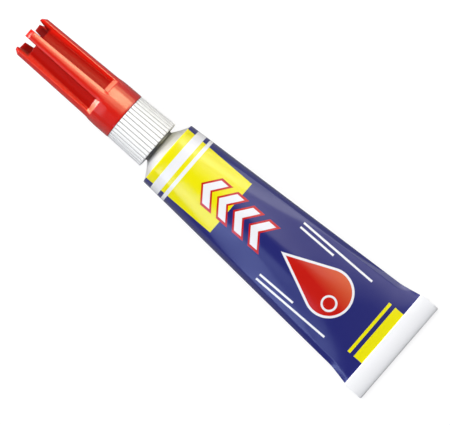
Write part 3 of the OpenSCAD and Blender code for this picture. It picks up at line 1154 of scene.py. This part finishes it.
@dataclass
class Cap(Piece):
    """The red moulding: plain skirt, five fins over a tapered core, and a crown of prongs."""

    node: str = "cap_shell"
    body: str = "cap"
    slot: str = "red_plastic"
    foot: float = 66.57
    length: float = 23.1
    skirt_r: float = 4.83
    skirt_h: float = 4.3
    bevel_h: float = 0.6
    slope_h: float = 0.95
    hem: float = 0.5
    fin_low_r: float = 4.72
    fin_top_r: float = 4.42
    fin_low_w: float = 2.34
    fin_top_w: float = 1.64
    fin_edge: float = 0.1
    fin_foot: float = 0.12
    wall_share: float = 0.4
    ease: float = 1.2
    ease_r: float = 3.0
    crown: float = 0.16
    core_low_r: float = 3.85
    core_top_r: float = 3.15
    prong_h: float = 2.55
    prong_bevel_h: float = 0.86
    prong_inner_r: float = 3.65
    prong_land: float = 0.15
    rim_edge: float = 0.15
    roof_shares: tuple = (0.985, 0.96, 0.8, 0.6, 0.4, 0.2, 0.1)
    skirt_rows: int = 8
    slope_rows: int = 28
    fin_rows: int = 20
    row_gap: float = 0.1
    slope_margin: float = 0.3
    top_steps: int = 7
    bend_steps: int = 4
    floor_steps: int = 6
    bore_r: float = 3.5
    bore_top: float = 70.52
    room_low_r: float = 2.9
    room_top_r: float = 1.45
    roof: float = 84.72
    seat_r: float = 0.39
    seat_len: float = 1.8
    thread: Thread = Thread(first=67.67, length=1.3, height=0.45, starts=2)

    @property
    def tip(self) -> float:
        """Highest point of the prongs."""
        return self.foot + self.length

    @property
    def rim(self) -> float:
        """Rim of the core between the prongs."""
        return self.tip - self.prong_h

    def inner_rows(self) -> tuple[np.ndarray, np.ndarray, np.ndarray]:
        """Follows the hollow from the pin's seat down and round the skirt's lower rim.

        Returns:
            Places along the axis, radii and relief numbers.
        """
        return trace([
            Corner(self.roof + self.seat_len, self.seat_r / 2),
            Corner(self.roof + self.seat_len, self.seat_r, fillet=0.05),
            Corner(self.roof, self.seat_r, fillet=0.05),
            Corner(self.roof, self.room_top_r, fillet=0.2, step=1.0),
            Corner(self.bore_top, self.room_low_r, fillet=0.15),
            Corner(self.bore_top, self.bore_r, fillet=0.15, step=0.06, relief=Relief.INNER_THREAD),
            Corner(self.foot, self.bore_r, fillet=0.1),
            Corner(self.foot, self.skirt_r, fillet=0.12),
            Corner(self.foot + self.hem, self.skirt_r),
        ])

    def outer_rows(self) -> tuple[np.ndarray, ...]:
        """Follows the outside from the skirt to the inner foot of the prongs.

        The fins' line and the core's line share their places along the axis up to the core's rim. Above it
        the fins' line goes round the prong while the core's line goes round the rim's small edge.

        Returns:
            Place and radius of the fins' line, the two parts of the direction square to it (against the axis
            and outwards), then place and radius of the core's line.
        """
        skirt_top = self.foot + self.skirt_h
        flute = skirt_top + self.bevel_h
        floor = flute + self.slope_h
        low_end = self.rim - self.rim_edge
        bevel = self.tip - self.prong_bevel_h
        share = (self.rim - flute) / (bevel - flute)
        rim_r = self.fin_low_r + (self.fin_top_r - self.fin_low_r) * share
        skirt = [
            Corner(self.foot + self.hem, self.skirt_r),
            Corner(skirt_top - self.ease, self.skirt_r, self.ease_r),
        ]
        fin_s, fin_r, _ = trace([
            *skirt,
            Corner(flute + self.ease, self.fin_low_r, self.ease_r),
            Corner(self.rim, rim_r),
        ])
        core_s, core_r, _ = trace([
            *skirt,
            Corner(flute, self.fin_low_r, fillet=0.06),
            Corner(floor, self.core_low_r, fillet=0.1),
            Corner(self.rim, self.core_top_r),
        ])
        first, last = skirt_top - self.slope_margin, floor + self.slope_margin
        low = np.concatenate([
            np.linspace(self.foot + self.hem + self.row_gap, first - self.row_gap, self.skirt_rows),
            np.linspace(first, last, self.slope_rows),
            np.linspace(last + 2 * self.row_gap, low_end, self.fin_rows),
        ])
        prong_s, prong_r, _ = trace([
            Corner(low_end, np.interp(low_end, fin_s, fin_r)),
            Corner(self.rim, rim_r, step=0.3),
            Corner(bevel, self.fin_top_r, fillet=0.4),
            Corner(self.tip, self.prong_inner_r + self.prong_land, fillet=0.12),
            Corner(self.tip, self.prong_inner_r, fillet=0.12, step=0.3),
            Corner(self.rim, self.core_top_r),
        ])
        prong_s, prong_r = prong_s[1:], prong_r[1:]
        turn = np.linspace(0, math.pi / 2, len(prong_s) + 1)[1:]
        place = np.concatenate([low, prong_s])
        radius = np.concatenate([np.interp(low, fin_s, fin_r), prong_r])
        core_place = np.concatenate([low, low_end + self.rim_edge * np.sin(turn)])
        core_radius = np.concatenate([
            np.interp(low, core_s, core_r),
            self.core_top_r - self.rim_edge * (1 - np.cos(turn)),
        ])
        step_s, step_r = np.gradient(place), np.gradient(radius)
        size = np.hypot(step_s, step_r)
        return place, radius, step_r / size, step_s / size, core_place, core_radius

    def half_width(self, along: np.ndarray) -> np.ndarray:
        """Half width of a fin, tapering from the skirt to the tip.

        Args:
            along: Millimetres from the tail end.

        Returns:
            Half widths in millimetres there.
        """
        start = self.foot + self.skirt_h
        share = (along - start) / (self.tip - start)
        return 0.5 * (self.fin_low_w + (self.fin_top_w - self.fin_low_w) * np.clip(share, 0, 1))

    def half_fin(self) -> tuple[np.ndarray, np.ndarray, np.ndarray]:
        """Computes the section from the middle of a fin to the middle of a flute, at every row.

        The columns cross the fin's top, its rounded edge, its wall, the fillet at its foot and the flute's
        floor. The top falls with the square of the way to its edge. The edge and the fillet are quadratic
        curves, cut down where the fin is low.

        Returns:
            Sideways and radial millimetres from the axis, and places along it, by row and column.
        """
        place, radius, lean, face, core_place, core_radius = (a[:, None] for a in self.outer_rows())
        wide, core_wide = self.half_width(place), self.half_width(core_place)

        def point(x: np.ndarray, r: np.ndarray, s: np.ndarray) -> np.ndarray:
            """Stacks a point that lies x sideways on a round of radius r."""
            return np.stack(np.broadcast_arrays(x, np.sqrt(r * r - x * x), s), axis=-1)

        raised = smooth((place - self.foot - self.skirt_h) / (self.bevel_h + self.slope_h))
        crown = self.crown * raised * np.maximum(face, 0)
        corner = point(wide, radius - crown, place)
        foot = point(core_wide, core_radius, core_place)
        depth = np.linalg.norm(corner - foot, axis=-1)
        edge = np.minimum(self.fin_edge, self.wall_share * depth)
        fillet = np.minimum(self.fin_foot, self.wall_share * depth)
        inward = np.stack(np.broadcast_arrays(0 * face, -face, lean), axis=-1)
        across = (1 - edge / wide) * np.linspace(0, 1, self.top_steps)
        top = point(wide * across, radius - crown * across**2, place)
        wall_top = corner + edge[..., None] * inward
        climb = wall_top - foot
        climb = climb / np.maximum(np.linalg.norm(climb, axis=-1, keepdims=True), TINY)
        wall_foot = foot + fillet[..., None] * climb
        start = np.arcsin(core_wide / core_radius) + fillet / core_radius
        floor_start = point(core_radius * np.sin(start), core_radius, core_place)
        t = np.linspace(0, 1, self.bend_steps)[1:]
        floor_angle = start + (math.pi / FIN_COUNT - start) * np.linspace(0, 1, self.floor_steps)[1:]

        def bend(a: np.ndarray, b: np.ndarray, c: np.ndarray) -> np.ndarray:
            """Quadratic curve from a to c that leaves towards b."""
            k = t[None, :, None]
            return (1 - k) ** 2 * a + 2 * k * (1 - k) * b + k**2 * c

        grid = np.concatenate([
            top,
            bend(top[:, -1:], corner, wall_top),
            wall_top + (wall_foot - wall_top) * t[None, :, None],
            bend(wall_foot, foot, floor_start),
            point(core_radius * np.sin(floor_angle), core_radius, core_place),
        ], axis=1)
        return grid[..., 0], grid[..., 1], grid[..., 2]

    def surface(self) -> Surface:
        """Joins the turned hollow, the finned outside and the flat top of the core into one grid.

        The columns are spread evenly at the skirt's lower rim and move over to the fins' section on the way
        up the skirt.

        Returns:
            The closed surface of the cap.
        """
        x, y, s = self.half_fin()
        half, reach = np.arctan2(x, y), np.hypot(x, y)
        mirrored = slice(-2, 0, -1)
        angle = np.concatenate([half, math.tau / FIN_COUNT - half[:, mirrored]], axis=1)
        radius = np.concatenate([reach, reach[:, mirrored]], axis=1)
        along = np.concatenate([s, s[:, mirrored]], axis=1)
        per_fin = angle.shape[1]
        starts = np.repeat(np.arange(FIN_COUNT), per_fin) * math.tau / FIN_COUNT
        angle = np.tile(angle, FIN_COUNT) + starts
        radius, along = np.tile(radius, FIN_COUNT), np.tile(along, FIN_COUNT)
        even = np.arange(FIN_COUNT * per_fin) * math.tau / (FIN_COUNT * per_fin)
        ease = smooth((along - self.foot - self.hem) / (self.skirt_h - self.hem))
        angle = even + (angle - even) * ease
        in_s, in_r, relief = (a[:, None] for a in self.inner_rows())
        turn = math.radians(FIN_TURN)
        ridge = self.thread.rise(in_s, even + turn)
        in_r = in_r - np.where(relief == Relief.INNER_THREAD.value, ridge, 0)
        top_r = np.array(self.roof_shares)[:, None] * (self.core_top_r - self.rim_edge)
        rows = (
            (in_s + 0 * even, in_r, even + 0 * in_s),
            (along, radius, angle),
            (self.rim + 0 * top_r + 0 * even, top_r + 0 * even, angle[-1] + 0 * top_r),
        )
        return Surface(np.concatenate([self.axes.turn(a, r, phi + turn) for a, r, phi in rows]))


@dataclass
class CarriedNode:
    """A CAD node that keeps its own mesh and only gets a finish."""

    axes: TubeAxes
    finish: Finish
    node: str
    slot: str

    def build(self) -> bpy.types.Object:
        """Dresses the node.

        Returns:
            The node's object.
        """
        shape = frame["nodes"][self.node]
        shape.data.materials.clear()
        shape.data.materials.append(self.finish.material(self.axes))
        log.info("%s: kept from the frame", shape.name)
        return shape


class Shown(Enum):
    """Where a lamp shows: in matt light, in gloss, or in both."""

    BOTH = "both"
    MATT = "matt"
    GLOSS = "gloss"


@dataclass(frozen=True)
class Softbox:
    """A rectangular lamp that faces the tube's axis.

    It hangs at a distance from a place along the axis, leaning across the tube and tipped along it. The twist
    turns it in its own plane. Angles are in degrees and lengths in millimetres.
    """

    name: str
    lean: float
    tip: float
    along: float
    distance: float
    length: float
    width: float
    radiance: float
    colour: tuple = (1.0, 1.0, 1.0)
    twist: float = 0.0
    shown: Shown = Shown.BOTH

    def build(self, axes: TubeAxes) -> bpy.types.Object:
        """Hangs the lamp at its angles from straight above: lean towards across, tip towards along.

        Args:
            axes: The tube's axes.

        Returns:
            The lamp's object.
        """
        lamp = bpy.data.lights.new(self.name, "AREA")
        lamp.shape = "RECTANGLE"
        lamp.color = self.colour
        lamp.size, lamp.size_y = self.length * MM, self.width * MM
        lamp.energy = self.radiance * math.pi * lamp.size * lamp.size_y
        shape = bpy.data.objects.new(self.name, lamp)
        shape.visible_diffuse = self.shown is not Shown.GLOSS
        shape.visible_glossy = self.shown is not Shown.MATT
        lean, tip = math.radians(self.lean), math.radians(self.tip)
        ahead = math.cos(tip) * axes.up + math.sin(tip) * axes.along
        out = math.sin(lean) * axes.across + math.cos(lean) * ahead
        side = axes.along - (axes.along @ out) * out
        side /= np.linalg.norm(side)
        twist = math.radians(self.twist)
        side = math.cos(twist) * side + math.sin(twist) * np.cross(out, side)
        turn = Matrix(np.stack([side, np.cross(out, side), out], axis=1).tolist()).to_4x4()
        spot = axes.place(self.along, 0, 0) + self.distance * MM * out
        shape.matrix_world = Matrix.Translation(spot.tolist()) @ turn
        bpy.context.scene.collection.objects.link(shape)
        return shape


COOL = (0.92, 0.88, 1.0)
SKY_BLUE = (0.5, 0.62, 1.0)
STRAW = (0.94, 0.95, 0.55)


@dataclass(frozen=True)
class Studio:
    """Pale floor, pale surroundings and softboxes.

    The floor and the surroundings are white where they are seen, and mirrored at their mirror share. What the
    surroundings add to matt light is the sky's level.
    """

    floor_half: float = 900.0
    floor_colour: tuple = srgb(120, 120, 120)
    floor_glow: float = 0.84
    mirror_share: float = 0.12
    sky: float = 0.2
    zenith: float = 0.04
    zenith_at: float = 0.6
    boxes: tuple = (
        Softbox("key", -68.0, 0.0, -5.0, 320.0, 130.0, 233.0, 1.4),
        Softbox("key_tail", -36.5, 0.0, -14.0, 320.0, 28.0, 392.0, 1.8, COOL, 16.5),
        Softbox("fill_tail", 47.0, 0.0, -1.0, 320.0, 16.0, 272.0, 4.8, SKY_BLUE, -17.0),
        Softbox("fill_end", 18.5, 0.0, -49.5, 320.0, 15.0, 62.0, 2.4, SKY_BLUE, -17.0),
        Softbox("front_cap", -2.0, 54.0, 44.0, 520.0, 580.0, 600.0, 3.6, shown=Shown.MATT),
        Softbox("front_sheen", -2.0, 54.0, 44.0, 530.0, 580.0, 600.0, 0.7),
        Softbox("front_left", 42.0, 46.0, 44.0, 520.0, 400.0, 400.0, 1.15, (0.84, 0.9, 1.0)),
        Softbox("shoulder_left", 30.0, 80.0, 57.0, 320.0, 200.0, 200.0, 6.0, shown=Shown.GLOSS),
        Softbox("front_tail", -2.0, -50.0, 44.0, 520.0, 600.0, 600.0, 0.1),
        Softbox("end_cap", -4.0, 84.0, 74.0, 300.0, 120.0, 200.0, 4.0, (1.0, 0.92, 0.76)),
        Softbox("cap_near", -2.0, 0.0, 112.0, 320.0, 84.0, 80.0, 0.9, STRAW, shown=Shown.GLOSS),
        Softbox("cap_high", -19.0, 0.0, 112.0, 320.0, 84.0, 110.0, 2.4, STRAW, shown=Shown.GLOSS),
        Softbox("cap_side", -50.0, 0.0, 112.0, 320.0, 84.0, 250.0, 6.5, STRAW, shown=Shown.GLOSS),
        Softbox("cap_low", -82.0, 0.0, 112.0, 320.0, 84.0, 110.0, 2.0, STRAW, shown=Shown.GLOSS),
    )

    def seen(self, nodes: bpy.types.Nodes, links: bpy.types.NodeLinks) -> bpy.types.NodeSocket:
        """Weighs the rays that show the background.

        Args:
            nodes: Nodes of the floor or of the world.
            links: Their links.

        Returns:
            1 for rays from the camera and through glass, the mirror share for mirrored rays, else 0.
        """
        path = nodes.new("ShaderNodeLightPath")
        mirrored = nodes.new("ShaderNodeMath")
        mirrored.operation = "MULTIPLY"
        mirrored.inputs[1].default_value = self.mirror_share
        links.new(path.outputs["Is Glossy Ray"], mirrored.inputs[0])
        total = path.outputs["Is Camera Ray"]
        for source in (path.outputs["Is Transmission Ray"], mirrored.outputs["Value"]):
            node = nodes.new("ShaderNodeMath")
            node.operation = "MAXIMUM"
            links.new(total, node.inputs[0])
            links.new(source, node.inputs[1])
            total = node.outputs["Value"]
        return total

    def floor(self) -> bpy.types.Object:
        """Lays the floor, a pale sheet that glows where it is seen, so that only shadows show.

        Returns:
            The floor's object.
        """
        half = self.floor_half * MM
        mesh = bpy.data.meshes.new("floor")
        corners = [(-half, -half, 0), (half, -half, 0), (half, half, 0), (-half, half, 0)]
        mesh.from_pydata(corners, [], [(0, 1, 2, 3)])
        floor = bpy.data.objects.new("floor", mesh)
        bpy.context.scene.collection.objects.link(floor)
        material = bpy.data.materials.new("floor")
        material.use_nodes = True
        nodes, links = material.node_tree.nodes, material.node_tree.links
        shader = nodes["Principled BSDF"]
        shader.inputs["Base Color"].default_value = self.floor_colour
        shader.inputs["Roughness"].default_value = 1.0
        shader.inputs["Specular IOR Level"].default_value = 0.0
        shader.inputs["Emission Color"].default_value = (1, 1, 1, 1)
        glow = nodes.new("ShaderNodeMath")
        glow.operation = "MULTIPLY"
        glow.inputs[1].default_value = self.floor_glow
        links.new(self.seen(nodes, links), glow.inputs[0])
        links.new(glow.outputs["Value"], shader.inputs["Emission Strength"])
        mesh.materials.append(material)
        return floor

    def surroundings(self) -> None:
        """Makes the world white at the horizon where it is seen, dark overhead, and dim where it lights."""
        world = bpy.data.worlds.new("studio")
        bpy.context.scene.world = world
        world.use_nodes = True
        nodes, links = world.node_tree.nodes, world.node_tree.links
        direction = nodes.new("ShaderNodeTexCoord")
        split = nodes.new("ShaderNodeSeparateXYZ")
        links.new(direction.outputs["Generated"], split.inputs["Vector"])
        height = nodes.new("ShaderNodeMapRange")
        height.inputs["From Min"].default_value = 0.0
        height.inputs["From Max"].default_value = self.zenith_at
        height.inputs["To Min"].default_value = 1.0
        height.inputs["To Max"].default_value = self.zenith
        links.new(split.outputs["Z"], height.inputs["Value"])
        shown = nodes.new("ShaderNodeMath")
        shown.operation = "MULTIPLY"
        links.new(self.seen(nodes, links), shown.inputs[0])
        links.new(height.outputs["Result"], shown.inputs[1])
        path = nodes.new("ShaderNodeLightPath")
        level = nodes.new("ShaderNodeMath")
        level.operation = "MULTIPLY_ADD"
        level.inputs[1].default_value = self.sky
        links.new(path.outputs["Is Diffuse Ray"], level.inputs[0])
        links.new(shown.outputs["Value"], level.inputs[2])
        background = nodes["Background"]
        background.inputs["Color"].default_value = (1, 1, 1, 1)
        links.new(level.outputs["Value"], background.inputs["Strength"])

    def build(self, axes: TubeAxes) -> None:
        """Sets up floor, surroundings and lamps.

        Args:
            axes: The tube's axes, which the lamps face.
        """
        self.floor()
        self.surroundings()
        for box in self.boxes:
            box.build(axes)


@dataclass(frozen=True)
class PhotoCamera:
    """The photograph's camera: straight above the print, turned so that the tube lies aslant."""

    aim_along: float = 41.15
    aim_across: float = 1.29
    distance: float = 450.0
    view_width: float = 82.53
    sensor: float = 36.0
    roll: float = 139.25
    clip: tuple = (0.01, 10.0)

    def build(self, axes: TubeAxes) -> bpy.types.Object:
        """Places the camera.

        Args:
            axes: The tube's axes.

        Returns:
            The camera's object.
        """
        data = bpy.data.cameras.new("photo_camera")
        data.sensor_width = self.sensor
        data.lens = self.sensor * self.distance / self.view_width
        data.clip_start, data.clip_end = self.clip
        camera = bpy.data.objects.new("photo_camera", data)
        angle = math.radians(self.roll)
        right = math.cos(angle) * axes.along - math.sin(angle) * axes.across
        up = math.sin(angle) * axes.along + math.cos(angle) * axes.across
        turn = Matrix(np.stack([right, up, axes.up], axis=1).tolist()).to_4x4()
        spot = axes.place(self.aim_along, self.aim_across, self.distance)
        camera.matrix_world = Matrix.Translation(spot.tolist()) @ turn
        bpy.context.scene.collection.objects.link(camera)
        bpy.context.scene.camera = camera
        return camera


WHITE_FOLD = Moulded("white_fold", srgb(252, 252, 252), srgb(246, 246, 246), 0.3, 3.0, 0.01)
WHITE_PLASTIC = RibbedPlastic("white_plastic", srgb(251, 251, 250), srgb(247, 247, 246), 0.38, 1.2, 0.003)
RED_PLASTIC = FinnedPlastic("red_plastic", srgb(214, 27, 12), srgb(205, 23, 10), 0.15, 2.0, 0.003, 1.0)
LATEX = Moulded("latex", srgb(203, 172, 124), srgb(182, 148, 98), 0.6, 0.8, 0.03)
SEAL_RUBBER = Moulded("seal_rubber", srgb(196, 196, 192), srgb(180, 180, 178), 0.65, 0.5, 0.02)
FOIL = Metal("foil", srgb(228, 228, 228), srgb(205, 205, 207), 0.28)
PIN_STEEL = Metal("pin_steel", srgb(206, 206, 208), srgb(184, 184, 188), 0.18)
GLUE = Liquid("glue", srgb(244, 240, 222), srgb(238, 232, 205))


def main() -> None:
    """Builds the pieces in order, then the studio and the camera."""
    logging.basicConfig(level=logging.INFO, format="%(message)s")
    hinge = next(j for j in frame["joints"] if j["name"] == "nozzle_turn")
    axes = TubeAxes.from_hinge(hinge, HINGE_ALONG)
    pieces = [
        TubeShell(axes, PrintedSheet()),
        TailFold(axes, WHITE_FOLD),
        CarriedNode(axes, LATEX, "tail_sealant", "latex"),
        CarriedNode(axes, FOIL, "neck_membrane", "foil"),
        GlueFill(axes, GLUE),
        CarriedNode(axes, SEAL_RUBBER, "neck_seal", "seal_rubber"),
        Nozzle(axes, WHITE_PLASTIC),
        CarriedNode(axes, PIN_STEEL, "cap_pin", "pin_steel"),
        Cap(axes, RED_PLASTIC),
    ]
    for piece in pieces:
        piece.build()
    Studio().build(axes)
    PhotoCamera().build(axes)
    bpy.context.scene.view_settings.view_transform = "Standard"


if __name__ == "__main__":
    main()
